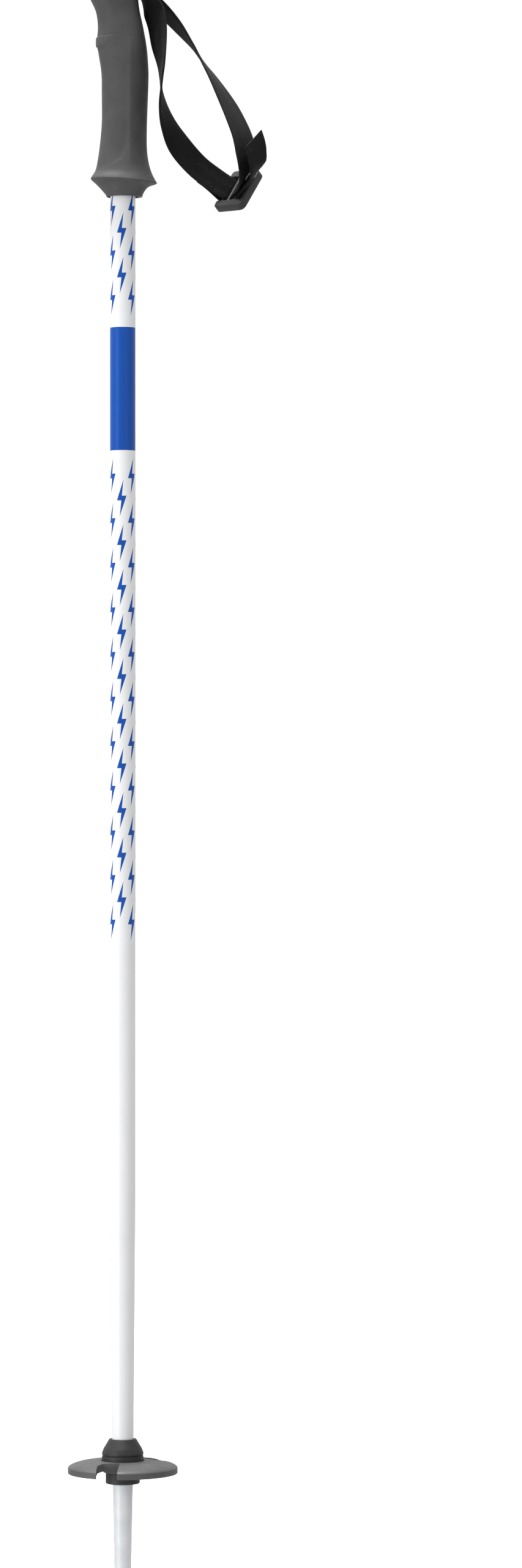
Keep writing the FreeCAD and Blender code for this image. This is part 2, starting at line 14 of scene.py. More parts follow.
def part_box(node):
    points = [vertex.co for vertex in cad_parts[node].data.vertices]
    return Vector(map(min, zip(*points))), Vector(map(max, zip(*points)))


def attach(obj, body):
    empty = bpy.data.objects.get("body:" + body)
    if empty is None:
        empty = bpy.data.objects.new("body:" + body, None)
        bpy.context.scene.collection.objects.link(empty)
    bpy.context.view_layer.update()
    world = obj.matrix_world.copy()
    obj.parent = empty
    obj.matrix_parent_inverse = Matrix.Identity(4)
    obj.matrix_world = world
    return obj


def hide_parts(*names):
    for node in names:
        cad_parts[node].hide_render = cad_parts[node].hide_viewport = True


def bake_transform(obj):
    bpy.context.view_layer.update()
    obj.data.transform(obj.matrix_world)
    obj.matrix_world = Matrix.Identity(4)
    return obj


MM = 0.001
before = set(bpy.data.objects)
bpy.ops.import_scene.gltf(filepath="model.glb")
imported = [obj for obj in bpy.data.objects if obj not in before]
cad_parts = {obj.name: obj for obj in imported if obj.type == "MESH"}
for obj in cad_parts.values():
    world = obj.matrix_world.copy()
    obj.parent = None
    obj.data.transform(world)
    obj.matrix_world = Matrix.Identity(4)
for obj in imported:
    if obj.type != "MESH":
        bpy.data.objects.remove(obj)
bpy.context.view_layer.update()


# ---------------------------------------------------------------- meshes

def mesh_piece(name, points, faces, smooth_angle=35):
    """A mesh object from points in millimetres, smooth except at edges sharper than the angle."""
    mesh = bpy.data.meshes.new(name)
    mesh.from_pydata([Vector(p) * MM for p in points], [], faces)
    work = bmesh.new()
    work.from_mesh(mesh)
    bmesh.ops.remove_doubles(work, verts=work.verts, dist=1e-7)
    bmesh.ops.recalc_face_normals(work, faces=work.faces)
    work.to_mesh(mesh)
    work.free()
    piece = bpy.data.objects.new(name, mesh)
    bpy.context.scene.collection.objects.link(piece)
    shade(piece, smooth_angle)
    return piece


def shade(piece, smooth_angle):
    """Smooth shading, with the edges sharper than the angle kept crisp."""
    mesh = piece.data
    mesh.polygons.foreach_set("use_smooth", [True] * len(mesh.polygons))
    work = bmesh.new()
    work.from_mesh(mesh)
    limit = math.radians(smooth_angle)
    for edge in work.edges:
        edge.smooth = len(edge.link_faces) == 2 and edge.calc_face_angle(0) < limit
    work.to_mesh(mesh)
    work.free()


def freeze(piece):
    """Puts the result of the piece's modifiers in its mesh."""
    shown = bpy.context.evaluated_depsgraph_get()
    mesh = bpy.data.meshes.new_from_object(piece.evaluated_get(shown))
    piece.modifiers.clear()
    piece.data = mesh


def cut(piece, cutter):
    """Takes the cutter's shape out of the piece and deletes the cutter."""
    step = piece.modifiers.new("cut", "BOOLEAN")
    step.object = cutter
    step.operation = "DIFFERENCE"
    step.solver = "EXACT"
    freeze(piece)
    bpy.data.objects.remove(cutter)


def soften(piece, width, angle=40, segments=2):
    """Rounds the piece's sharp edges."""
    step = piece.modifiers.new("edges", "BEVEL")
    step.width = width * MM
    step.segments = segments
    step.limit_method = "ANGLE"
    step.angle_limit = math.radians(angle)
    freeze(piece)


def joined(name, pieces):
    """One object from several."""
    mesh = bpy.data.meshes.new(name)
    work = bmesh.new()
    for piece in pieces:
        work.from_mesh(piece.data)
        bpy.data.objects.remove(piece)
    work.to_mesh(mesh)
    work.free()
    whole = bpy.data.objects.new(name, mesh)
    bpy.context.scene.collection.objects.link(whole)
    return whole


def rounded(corners, closed, steps=5):
    """Turns (across, up, radius) corners into points, with an arc of that radius at each corner."""
    points = []
    count = len(corners)
    for number, (across, up, radius) in enumerate(corners):
        here = Vector((across, up))
        ends = not closed and number in (0, count - 1)
        if ends or radius <= 0:
            points.append(here)
            continue
        back = Vector(corners[number - 1][:2]) - here
        ahead = Vector(corners[(number + 1) % count][:2]) - here
        half_turn = back.angle(ahead) / 2
        reach = radius / math.tan(half_turn)
        reach = min(reach, back.length * 0.49, ahead.length * 0.49)
        start = here + back.normalized() * reach
        end = here + ahead.normalized() * reach
        for step in range(steps + 1):
            share = step / steps
            points.append((1 - share) ** 2 * start + 2 * share * (1 - share) * here + share ** 2 * end)
    return points


def lathe(name, corners, closed=False, turns=96, centre=(0, 0)):
    """A turned shape.  Corners are (radius, height, rounding); a closed outline goes round a bore."""
    outline = rounded(corners, closed)
    points, faces, rows = [], [], []
    for radius, height in outline:
        if radius < 1e-6:
            rows.append([len(points)] * turns)
            points.append((centre[0], centre[1], height))
            continue
        rows.append(range(len(points), len(points) + turns))
        for turn in range(turns):
            angle = 2 * math.pi * turn / turns
            x = centre[0] + radius * math.cos(angle)
            y = centre[1] + radius * math.sin(angle)
            points.append((x, y, height))
    pairs = list(zip(rows, rows[1:]))
    if closed:
        pairs.append((rows[-1], rows[0]))
    for low, high in pairs:
        for turn in range(turns):
            after = (turn + 1) % turns
            ring = [low[turn], low[after], high[after], high[turn]]
            face = list(dict.fromkeys(ring))
            if len(face) > 2:
                faces.append(face)
    return mesh_piece(name, points, faces)


def prism(name, outline, low, high):
    """An upright block on an outline of (x, y) points."""
    count = len(outline)
    points = [(x, y, z) for z in (low, high) for x, y in outline]
    faces = [list(range(count)), list(range(count, 2 * count))]
    for number in range(count):
        after = (number + 1) % count
        faces.append([number, after, count + after, count + number])
    return mesh_piece(name, points, faces)


def turned_about_z(outline, degrees):
    """The outline's points, turned round the Z axis."""
    spin = Matrix.Rotation(math.radians(degrees), 2)
    return [spin @ Vector(point) for point in outline]


# ---------------------------------------------------------------- materials

class Finish:
    """A node material with one Principled surface, fed by procedural textures in object space."""

    def __init__(self, name, **sockets):
        self.material = bpy.data.materials.new(name)
        self.material.use_nodes = True
        self.tree = self.material.node_tree
        self.surface = self.tree.nodes["Principled BSDF"]
        for key, value in sockets.items():
            self.surface.inputs[key.replace("_", " ")].default_value = value
        self.place = self.node("TexCoord").outputs["Object"]

    def feed(self, socket, value):
        if isinstance(value, bpy.types.NodeSocket):
            self.tree.links.new(value, socket)
        else:
            socket.default_value = value

    def node(self, kind, inputs=None, **settings):
        made = self.tree.nodes.new("ShaderNode" + kind)
        for key, value in settings.items():
            setattr(made, key, value)
        for key, value in (inputs or {}).items():
            self.feed(made.inputs[key], value)
        return made

    def math(self, operation, *values, clamp=False):
        made = self.node("Math", operation=operation, use_clamp=clamp)
        for socket, value in zip(made.inputs, values):
            self.feed(socket, value)
        return made.outputs[0]

    def noise(self, size, detail=3.0, stretch=(1, 1, 1)):
        """Noise whose features are about size millimetres, longer along an axis stretched below 1."""
        way = self.node("Mapping", {"Vector": self.place, "Scale": stretch}).outputs["Vector"]
        inputs = {"Vector": way, "Scale": 1 / (size * MM), "Detail": detail}
        return self.node("TexNoise", inputs).outputs["Fac"]

    def spread(self, value, low, high, start=0.35, end=0.65):
        """The value's start to end range, stretched to low to high."""
        inputs = {"Value": value, "From Min": start, "From Max": end, "To Min": low, "To Max": high}
        return self.node("MapRange", inputs).outputs["Result"]

    def mix(self, share, first, second):
        made = self.node("Mix", data_type="RGBA")
        self.feed(made.inputs[0], share)
        self.feed(made.inputs[6], first)
        self.feed(made.inputs[7], second)
        return made.outputs[2]

    def colour(self, value):
        self.feed(self.surface.inputs["Base Color"], value)

    def roughness(self, value):
        self.feed(self.surface.inputs["Roughness"], value)

    def bump(self, height, depth, strength=1.0):
        """Relief of depth millimetres from a height between 0 and 1."""
        before = self.surface.inputs["Normal"].links
        inputs = {"Height": height, "Distance": depth * MM, "Strength": strength}
        if before:
            inputs["Normal"] = before[0].from_socket
        relief = self.node("Bump", inputs)
        self.feed(self.surface.inputs["Normal"], relief.outputs["Normal"])

    def dress(self, piece):
        piece.data.materials.clear()
        piece.data.materials.append(self.material)


def grey(level):
    return (level, level, level, 1)


# The blue print on the shaft, in millimetres.
SHAFT_RADIUS = (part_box("shaft_tube")[1].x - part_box("shaft_tube")[0].x) / 2 / MM
PRINT_COLUMNS = 7
PRINT_TURN = math.radians(-3.6)
PRINT_PITCH = 28.03
BAND_MIDDLE, BAND_HALF = 772.0, 38.7
LOWER_BOLTS = {"even": (703.2, 9), "odd": (717.2, 10)}
UPPER_BOLTS = {"even": (871.3, 1), "odd": (885.4, 2)}
BOLT_TOP, BOLT_LEFT, BOLT_INNER = (1.1, 11.3), (-3.1, -1.5), (-0.2, -1.5)
PRINT_EDGE = 0.06


def inside_edge(finish, across, up, start, end):
    """How far a point is inside the line from start to end, seen with the inside on its right."""
    run, rise = end[0] - start[0], end[1] - start[1]
    length = math.hypot(run, rise)
    sideways = finish.math("MULTIPLY", finish.math("SUBTRACT", across, start[0]), rise / length)
    upward = finish.math("MULTIPLY", finish.math("SUBTRACT", up, start[1]), run / length)
    return finish.math("SUBTRACT", sideways, upward)


def half_bolt(finish, across, up):
    """How far a point is inside the bolt's upper wedge."""
    left = inside_edge(finish, across, up, BOLT_LEFT, BOLT_TOP)
    right = inside_edge(finish, across, up, BOLT_TOP, BOLT_INNER)
    low = finish.math("SUBTRACT", up, BOLT_LEFT[1])
    right = finish.math("ADD", right, PRINT_EDGE)
    return finish.math("MINIMUM", finish.math("MINIMUM", left, right), low)


def bolt_group(finish, across, odd, height, group):
    """How far a point is inside the nearest bolt of a group of staggered columns."""
    (even_top, even_last), (odd_top, odd_last) = group["even"], group["odd"]
    top = finish.math("MULTIPLY_ADD", odd, odd_top - even_top, even_top)
    last = finish.math("MULTIPLY_ADD", odd, odd_last - even_last, even_last)
    row = finish.math("DIVIDE", finish.math("SUBTRACT", top, height), PRINT_PITCH)
    nearest = finish.math("MAXIMUM", finish.math("MINIMUM", finish.math("ROUND", row), last), 0)
    up = finish.math("MULTIPLY", finish.math("SUBTRACT", nearest, row), PRINT_PITCH)
    mirrored_across = finish.math("MULTIPLY", across, -1)
    mirrored_up = finish.math("MULTIPLY", up, -1)
    upper = half_bolt(finish, across, up)
    lower = half_bolt(finish, mirrored_across, mirrored_up)
    return finish.math("MAXIMUM", upper, lower)


def shaft_paint():
    """Glossy white lacquer with a blue band and staggered rows of slanted bolts."""
    finish = Finish("shaft_paint", Roughness=0.2, Coat_Weight=0.12, Coat_Roughness=0.06,
                    Specular_IOR_Level=0.25)
    place = finish.node("SeparateXYZ", {"Vector": finish.place}).outputs
    turn = finish.math("ARCTAN2", place["X"], finish.math("MULTIPLY", place["Y"], -1))
    spacing = 2 * math.pi / PRINT_COLUMNS
    column = finish.math("DIVIDE", finish.math("SUBTRACT", turn, PRINT_TURN), spacing)
    nearest = finish.math("ROUND", column)
    odd = finish.math("ABSOLUTE", finish.math("MODULO", nearest, 2))
    across = finish.math("MULTIPLY", finish.math("SUBTRACT", column, nearest), spacing * SHAFT_RADIUS)
    height = finish.math("MULTIPLY", place["Z"], 1 / MM)
    bolts = [bolt_group(finish, across, odd, height, group) for group in (LOWER_BOLTS, UPPER_BOLTS)]
    off_middle = finish.math("ABSOLUTE", finish.math("SUBTRACT", height, BAND_MIDDLE))
    band = finish.math("SUBTRACT", BAND_HALF, off_middle)
    inside = finish.math("MAXIMUM", finish.math("MAXIMUM", *bolts), band)
    printed = finish.math("MULTIPLY_ADD", inside, 1 / PRINT_EDGE, 0.5, clamp=True)
    cloud = finish.noise(18, 2)
    white = finish.mix(cloud, (0.78, 0.79, 0.80, 1), (0.84, 0.85, 0.86, 1))
    blue = finish.mix(cloud, (0, 0.062, 0.35, 1), (0, 0.078, 0.41, 1))
    finish.colour(finish.mix(printed, white, blue))
    scuffs = finish.noise(2.5, 6, (1, 1, 0.12))
    finish.roughness(finish.spread(scuffs, 0.16, 0.3))
    finish.bump(printed, 0.012)
    finish.bump(finish.noise(1.6, 2), 0.006)
    return finish


def moulded(name, dark, light, rough, grain, depth, **sockets):
    """Moulded plastic or rubber: a fine spark grain, faint clouding and patches of wear."""
    finish = Finish(name, **sockets)
    cloud = finish.spread(finish.noise(14, 4), 0, 1)
    finish.colour(finish.mix(cloud, dark, light))
    wear = finish.noise(5, 5)
    finish.roughness(finish.spread(wear, rough - 0.06, rough + 0.08))
    finish.bump(finish.noise(grain, 3), depth)
    finish.bump(finish.noise(9, 2), depth * 2, 0.5)
    return finish


def turned_metal(name, colour, rough):
    """Steel with fine turning marks round the axis."""
    finish = Finish(name, Metallic=1.0)
    cloud = finish.noise(4, 4)
    darker = tuple(channel * 0.78 for channel in colour[:3]) + (1,)
    finish.colour(finish.mix(cloud, darker, colour))
    marks = finish.noise(0.35, 2, (0.02, 0.02, 1))
    finish.roughness(finish.spread(marks, rough - 0.08, rough + 0.1))
    finish.bump(marks, 0.02)
    return finish


def ferrule_plastic():
    """Milky, slightly clear moulded nylon."""
    finish = moulded("ferrule_white", (0.66, 0.69, 0.72, 1), (0.76, 0.78, 0.80, 1), 0.34, 0.6, 0.006,
                     Subsurface_Weight=0.35, Subsurface_Scale=0.004, Coat_Weight=0.25)
    return finish


# Webbing weave, in millimetres.
RIB_PITCH = 1.05
CHEVRON_WIDTH = 4.25
WEAVE_MAP = "weave"


def webbing(name, dark, light):
    """Woven polyester: chevron ribs along the band, from each piece's own band coordinates."""
    finish = Finish(name, Sheen_Weight=0.04, Sheen_Roughness=0.4, Specular_IOR_Level=0.16)
    band = finish.node("UVMap", uv_map=WEAVE_MAP).outputs["UV"]
    place = finish.node("SeparateXYZ", {"Vector": band}).outputs
    across = finish.math("MULTIPLY", place["X"], 1 / MM)
    along = finish.math("MULTIPLY", place["Y"], 1 / MM)
    fold = finish.math("PINGPONG", across, CHEVRON_WIDTH)
    slant = finish.math("ADD", along, fold)
    twill = finish.math("SINE", finish.math("MULTIPLY", slant, 2 * math.pi / RIB_PITCH))
    warp = finish.math("SINE", finish.math("MULTIPLY", across, 2 * math.pi / (RIB_PITCH * 0.8)))
    weave = finish.math("MULTIPLY_ADD", finish.math("MULTIPLY_ADD", warp, 0.35, twill), 0.37, 0.5, clamp=True)
    cloud = finish.spread(finish.noise(7, 5), 0, 1)
    worn = finish.math("MULTIPLY", finish.math("ADD", cloud, weave), 0.5)
    finish.colour(finish.mix(worn, dark, light))
    finish.roughness(finish.spread(weave, 0.62, 0.82, 0, 1))
    finish.bump(weave, 0.16)
    finish.bump(finish.noise(0.5, 2), 0.03)
    return finish


FINISHES = {
    "shaft_paint": shaft_paint(),
    "grip_rubber": moulded("grip_rubber", grey(0.056), grey(0.07), 0.56, 0.45, 0.03,
                           Specular_IOR_Level=0.4),
    "hard_black": moulded("hard_black", grey(0.016), grey(0.024), 0.38, 0.5, 0.01),
    "strap_webbing": webbing("strap_webbing", grey(0.0022), grey(0.006)),
    "buckle_grey": moulded("buckle_grey", grey(0.022), grey(0.03), 0.42, 0.5, 0.012,
                           Specular_IOR_Level=0.4),
    "ferrule_white": ferrule_plastic(),
    "tip_steel": turned_metal("tip_steel", (0.62, 0.62, 0.6, 1), 0.3),
    "screw_steel": turned_metal("screw_steel", (0.55, 0.55, 0.56, 1), 0.34),
    "basket_grey": moulded("basket_grey", grey(0.075), grey(0.095), 0.5, 0.6, 0.012,
                           Specular_IOR_Level=0.35),
    "basket_dark": moulded("basket_dark", grey(0.02), grey(0.029), 0.46, 0.6, 0.012,
                           Specular_IOR_Level=0.35),
}
THREAD = moulded("strap_thread", grey(0.03), grey(0.06), 0.6, 0.3, 0.02, Sheen_Weight=0.3)


def place_on(piece, body, slot, *stands_for, finish=None):
    """Gives a piece its body and its finish, and hides the CAD nodes that it stands for."""
    (finish or FINISHES[slot]).dress(piece)
    if stands_for:
        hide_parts(*stands_for)
    if body:
        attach(piece, body)
    return piece


# ---------------------------------------------------------------- shaft, ferrule and tip

TUBE_WALL = 0.9
STUB_RADIUS, STUB_TOP = 5.3, 108.5
TAPER_FOOT_RADIUS, TAPER_FOOT, TAPER_TOP = 6.83, 111.4, 265


def build_shaft():
    low, high = (corner.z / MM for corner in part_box("shaft_tube"))
    corners = [
        (STUB_RADIUS, low, 0.2), (STUB_RADIUS, STUB_TOP, 1.5), (TAPER_FOOT_RADIUS, TAPER_FOOT, 1.0),
        (SHAFT_RADIUS, TAPER_TOP, 60), (SHAFT_RADIUS, high, 0.2),
        (SHAFT_RADIUS - TUBE_WALL, high, 0.2), (SHAFT_RADIUS - TUBE_WALL, TAPER_TOP, 0),
        (TAPER_FOOT_RADIUS - TUBE_WALL, TAPER_FOOT, 0), (STUB_RADIUS - TUBE_WALL, STUB_TOP, 0),
        (STUB_RADIUS - TUBE_WALL, low, 0.2),
    ]
    place_on(lathe("pole_shaft", corners, closed=True, turns=128), "pole", "shaft_paint", "shaft_tube")


def build_ferrule():
    corners = [
        (0, 9.5, 0), (5.15, 9.5, 0.6), (5.15, 22, 2), (7.0, 110.8, 0.5), (5.4, 110.8, 0), (0, 110.8, 0),
    ]
    place_on(lathe("ferrule_cone", corners), "pole", "ferrule_white", "ferrule")
    tip = [
        (0, 0, 0), (0.6, 0, 0.3), (2.2, 2, 0.4), (2.5, 7.5, 0.2), (4.3, 7.5, 0.4), (4.3, 9.5, 0.3),
        (2.5, 9.5, 0), (2.5, 24, 0), (0, 24, 0),
    ]
    place_on(lathe("tip_crown", tip, turns=48), "pole", "tip_steel", "tip_insert")


# ---------------------------------------------------------------- basket

# The notch is seen from above; the dome gives the disc's upper face and edge as radius and height.
NOTCH = [(-1, -15.8), (-3.2, -39.6), (-16.6, -39.6), (-15.3, -20.5), (-11.5, -15.8)]
NOTCH_CORNER = 1.2
SECOND_NOTCH_TURN = 140
DOME = [
    (13.6, 98), (20, 97.7), (26, 97), (30.5, 95.9), (33.2, 94.8), (34.5, 93.7), (34.6, 92.8), (34.6, 90.1),
]


def build_basket():
    hub = [
        (10.85, 83.5, 0.8), (10.85, 90.5, 0.5), (9.0, 90.5, 0.4), (9.0, 101, 0.2),
        (5.6, 101, 0.1), (5.6, 83.5, 0.4),
    ]
    place_on(lathe("basket_socket", hub, closed=True), "basket", "basket_dark", "basket_hub")
    collar = [
        (9.1, 97.5, 0.1), (13.15, 97.5, 0.3), (13.15, 100.9, 0.3), (12.6, 101.2, 0.1), (12.6, 101.6, 0.1),
        (13.2, 101.9, 0.3), (13.1, 103, 1), (12.1, 105.6, 3), (10.1, 108.9, 3), (8.6, 111.5, 0.4),
        (7.05, 111.5, 0.2), (6.9, 101.2, 0), (9.1, 101.2, 0),
    ]
    place_on(lathe("basket_boss", collar, closed=True), "basket", "basket_dark", "basket_collar")
    disc = [(9.05, 97.4, 0.2), (13.6, 97.4, 0.1)]
    disc += [(radius, height, 0) for radius, height in through(DOME, 6)]
    disc += [
        (34.4, 89.9, 0.2), (32.2, 89.9, 0.3), (32.2, 91.3, 0.4), (12.5, 94, 0.5),
        (12.5, 90.6, 0.4), (9.05, 90.6, 0.3),
    ]
    plate = lathe("basket_plate", disc, closed=True, turns=144)
    for degrees in (0, SECOND_NOTCH_TURN):
        outline = rounded([(x, y, NOTCH_CORNER) for x, y in turned_about_z(NOTCH, degrees)], True)
        cut(plate, prism("notch", outline, 80, 110))
    soften(plate, 0.3, angle=50)
    shade(plate, 30)
    place_on(plate, "disc", "basket_grey", "basket_disc")


# ---------------------------------------------------------------- grip

# Rings up the grip: height, front x, back x, half width, and how far the ring's front stands above its back.
GRIP_RINGS = [
    (893.2, -10.3, 12.4, 11.1, 0), (894.6, -10.9, 12.7, 11.4, 0), (897.8, -14.0, 14.2, 12.7, 0.9),
    (900.6, -17.2, 16.6, 14.4, 1.8), (902.4, -19.6, 20.6, 16.2, 2.5), (903.2, -20.1, 21.6, 16.6, 2.6),
    (904.3, -19.8, 20.9, 16.2, 2.6),
    (909, -17.3, 18.2, 14.2, 1.2), (915.5, -15.9, 16.2, 13.0, 0), (925, -14.5, 15.2, 12.4, 0),
    (940, -13.2, 15.3, 12.2, 0), (956, -13.2, 15.9, 12.4, 0), (970, -13.4, 16.3, 12.6, 0),
    (981.5, -15.0, 15.7, 12.7, 0), (986.6, -16.0, 15.2, 12.75, 0), (988, -16.9, 15.0, 12.8, 0),
    (992.6, -16.9, 14.3, 12.8, 0), (994, -16.1, 14.0, 12.8, 0), (1001, -15.7, 12.7, 12.9, 0),
    (1009.5, -16.9, 10.8, 13.4, 0), (1017, -20.2, 9.8, 14.4, 0), (1026, -23.8, 9.5, 15.2, 0),
    (1036, -24.0, 10.2, 15.0, 0), (1044, -20.5, 8.5, 12.8, 0), (1048.5, -15.5, 4.5, 8.6, 0),
    (1050, -11.5, 0.5, 5.0, 0), (1050, -6.5, -4.5, 0.8, 0),
]
GRIP_TURNS = 160
BORE_RADIUS, BORE_TOP = 9.8, 896.5
PANEL_BACK = 5.0
HAND_SQUARENESS = 2.6
PANEL_TOP = [
    (-30, 984), (-13.7, 987.7), (-9, 990.4), (-4.4, 987), (0, 983), (3.6, 977.3), (5, 973.5), (30, 940),
]
PANEL_FOOT = [(908, -16), (912, -6), (916, 1), (924, 4.6), (935, 5), (1000, 5)]
PANEL_DEPTH = 0.28
PANEL_FADE = 3.2
CAP_CENTRE, CAP_HALF_LENGTH, CAP_HALF_WIDTH = (-10.0, 0.0), 6.0, 6.6
SCREW_RECESS = 3.45


def between(pairs, value):
    """The second numbers of the pairs, read at a value among the first numbers."""
    for (low, before), (high, after) in zip(pairs, pairs[1:]):
        if value <= high:
            share = min(1, max(0, (value - low) / (high - low)))
            return before + (after - before) * share
    return pairs[-1][1]


def ease(value):
    value = min(1, max(0, value))
    return value * value * (3 - 2 * value)


def catmull_rom(a, b, c, d, t):
    """The curve's value at share t of the way from b to c, with a before b and d after c."""
    linear = 2 * b + (c - a) * t
    return 0.5 * (linear + (2 * a - 5 * b + 4 * c - d) * t * t + (3 * b - a - 3 * c + d) * t ** 3)


def through(items, steps):
    """Smooth values through a list of equally long number lists."""
    rows = []
    for number in range(len(items) - 1):
        before = items[max(number - 1, 0)]
        start, end = items[number], items[number + 1]
        after = items[min(number + 2, len(items) - 1)]
        for step in range(steps):
            t = step / steps
            rows.append([catmull_rom(*four, t) for four in zip(before, start, end, after)])
    rows.append(list(items[-1]))
    return rows


def grip_side(x, height, front, back):
    """Half width of the grip at x, as a share: oval at the head and skirt, flat sided in the hand zone."""
    middle, half = (front + back) / 2, (back - front) / 2
    oval = math.sqrt(max(0, 1 - ((x - middle) / half) ** 2))
    if x < PANEL_BACK:
        reach = min(1, (PANEL_BACK - x) / (PANEL_BACK - front))
        flat = (1 - reach ** HAND_SQUARENESS) ** (1 / HAND_SQUARENESS)
    else:
        reach = min(1, (x - PANEL_BACK) / (back - PANEL_BACK))
        flat = math.sqrt(1 - reach * reach) * (1 - 0.34 * reach)
    hand = ease((height - 906) / 16) * ease((996 - height) / 16)
    return oval + (flat - oval) * hand


def grip_recess(x, height):
    """How far the hand panel sinks below the grip's skin."""
    inside = min(between(PANEL_TOP, x) - height, between(PANEL_FOOT, height) - x)
    return PANEL_DEPTH * ease(inside / PANEL_FADE) * ease((height - 908) / 10)


def build_grip():
    points, rows = [], []

    def add_row(row):
        rows.append(range(len(points), len(points) + GRIP_TURNS))
        points.extend(row)

    angles = [2 * math.pi * turn / GRIP_TURNS for turn in range(GRIP_TURNS)]
    for height in (BORE_TOP, GRIP_RINGS[0][0] - 0.2):
        add_row([(BORE_RADIUS * math.cos(a), BORE_RADIUS * math.sin(a), height) for a in angles])
    for height, front, back, half, lift in through(GRIP_RINGS, 14):
        height = min(height, GRIP_RINGS[-1][0])
        row = []
        for angle in angles:
            x = (front + back) / 2 + (back - front) / 2 * math.cos(angle)
            y = half * grip_side(x, height, front, back) - grip_recess(x, height) * abs(math.sin(angle))
            level = height - lift * (x - (front + back) / 2) / (back - front)
            row.append((x, math.copysign(max(y, 0), math.sin(angle)), level))
        add_row(row)
    faces = [list(rows[0]), list(rows[-1])]
    for low, high in zip(rows, rows[1:]):
        for turn in range(GRIP_TURNS):
            after = (turn + 1) % GRIP_TURNS
            faces.append([low[turn], low[after], high[after], high[turn]])
    grip = mesh_piece("grip_handle", points, faces, 50)
    skin = BVHTree.FromObject(grip, bpy.context.evaluated_depsgraph_get())
    notch = rounded([(-3.5, -9.2, 0.6), (30, -9.2, 0), (30, 9.2, 0), (-3.5, 9.2, 0.6)], True)
    cut(grip, prism("strap_slot", notch, 1019, 1060))
    circle = [(CAP_CENTRE[0] + SCREW_RECESS * math.cos(a), SCREW_RECESS * math.sin(a)) for a in angles[::3]]
    cut(grip, prism("screw_well", circle, 1046.5, 1060))
    shade(grip, 38)
    place_on(grip, "pole", "grip_rubber", "grip_body")
    build_cap(skin)


def build_cap(skin):
    """The oval cap that follows the head's crown, a little proud of it, round the screw's well."""
    turns = 72
    shares = [0, 0, 0.04, 0.25, 0.5, 0.75, 0.93, 0.98, 1, 1]
    drops = [2.5, 0.35, 0, 0, 0, 0, 0.02, 0.12, 0.4, 2.5]
    rows, points = [], []
    for share, drop in zip(shares, drops):
        rows.append(range(len(points), len(points) + turns))
        for turn in range(turns):
            angle = 2 * math.pi * turn / turns
            outer = Vector((CAP_HALF_LENGTH * math.cos(angle), CAP_HALF_WIDTH * math.sin(angle)))
            inner = Vector((math.cos(angle), math.sin(angle))) * (SCREW_RECESS - 0.1)
            spot = inner.lerp(outer, share)
            x, y = CAP_CENTRE[0] + spot.x, CAP_CENTRE[1] + spot.y
            crown = skin.ray_cast(Vector((x, y, 1100)) * MM, Vector((0, 0, -1)))[0].z / MM
            points.append((x, y, crown + 0.25 - drop))
    faces = []
    for low, high in zip(rows, rows[1:] + rows[:1]):
        for turn in range(turns):
            after = (turn + 1) % turns
            faces.append([low[turn], low[after], high[after], high[turn]])
    place_on(mesh_piece("grip_crown_cap", points, faces, 50), "pole", "hard_black", "grip_cap")


# ---------------------------------------------------------------- strap and buckle

WEB_WIDTH, WEB_THICK = 17.0, 1.3
ALONG = Vector((0.755, -0.655, 0)).normalized()
ACROSS = Vector((0.41, 0.473, 0.78)).normalized()
ABOVE = ALONG.cross(ACROSS)
BUCKLE_CENTRE = Vector((74.2, -5.8, 896.6))
END_BAR_PLACE, END_BAR_RADIUS, END_BAR_HALF = -9.8, 1.7, 12
ENTRY_SLOT, EXIT_SLOT = (-2.4, 0.4), (3.4, 7.0)
RIB_PLACES = (8.1, 9.0)
ENTRY, WAY_OUT, EXIT_RISE, BUCKLE_THICK = -1.0, 5.2, 0.8, 5.4
FREE_END_SLANT = 8.0
PIN_CENTRE = (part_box("strap_pin")[0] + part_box("strap_pin")[1]) / 2 / MM
PIN_LAP = 2.95

# The near strand from the pin to the buckle, the far strand from the pin to the buckle, and the loose end
# up from the buckle, each as points with the direction across the band.
NEAR_STRAND = [
    ((-0.5, 0, 1027.8), (0, 1, 0)), ((5.6, 0, 1024.2), (0, 1, 0)),
    ((11.6, -0.5, 1020.4), (-0.15, 0.98, -0.05)),
    ((18.9, -3, 1010.8), (-0.72, 0.68, -0.18)), ((21.8, -5, 1001), (-0.68, 0.73, -0.10)),
    ((23.1, -7, 988.5), (-0.55, 0.84, 0)), ((24.5, -8.4, 976), (-0.27, 0.96, 0)),
    ((24.6, -8.9, 967), (-0.10, 0.99, 0)), ((24.6, -9, 959.5), (0.01, 1, 0)),
    ((25.9, -8.6, 948.5), (0.30, 0.95, 0.05)), ((29.4, -7.5, 936.8), (0.58, 0.80, 0.20)),
    ((36.2, -5.6, 924.2), (0.70, 0.46, 0.50)), ((46.8, -3.6, 912.2), (0.59, 0.42, 0.70)),
    ((57.4, -2.4, 904.2), (0.47, 0.44, 0.77)),
]
FAR_STRAND = [
    ((3.6, 0, 1032), (0, 1, 0)), ((8.2, 0, 1027.6), (0, 1, 0)), ((13.6, 0.5, 1022.6), (-0.10, 0.99, -0.05)),
    ((22.4, 2, 1013.9), (-0.28, 0.92, -0.28)), ((33.9, 3, 1001.6), (-0.24, 0.95, -0.19)),
    ((43.4, 1.5, 989.4), (-0.05, 1, -0.03)), ((49.3, -1, 980), (0.05, 1, 0.03)),
    ((57.2, -6, 967.4), (0.23, 0.96, 0.14)), ((65.5, -12, 952.2), (0.45, 0.86, 0.23)),
    ((71.2, -17, 939.9), (0.58, 0.78, 0.24)), ((75.8, -20.8, 927.6), (0.64, 0.71, 0.28)),
    ((78.2, -22.6, 914.6), (0.60, 0.62, 0.50)), ((77.8, -19.6, 906.4), (0.51, 0.53, 0.68)),
    ((75.4, -14, 901.2), (0.43, 0.48, 0.76)),
]
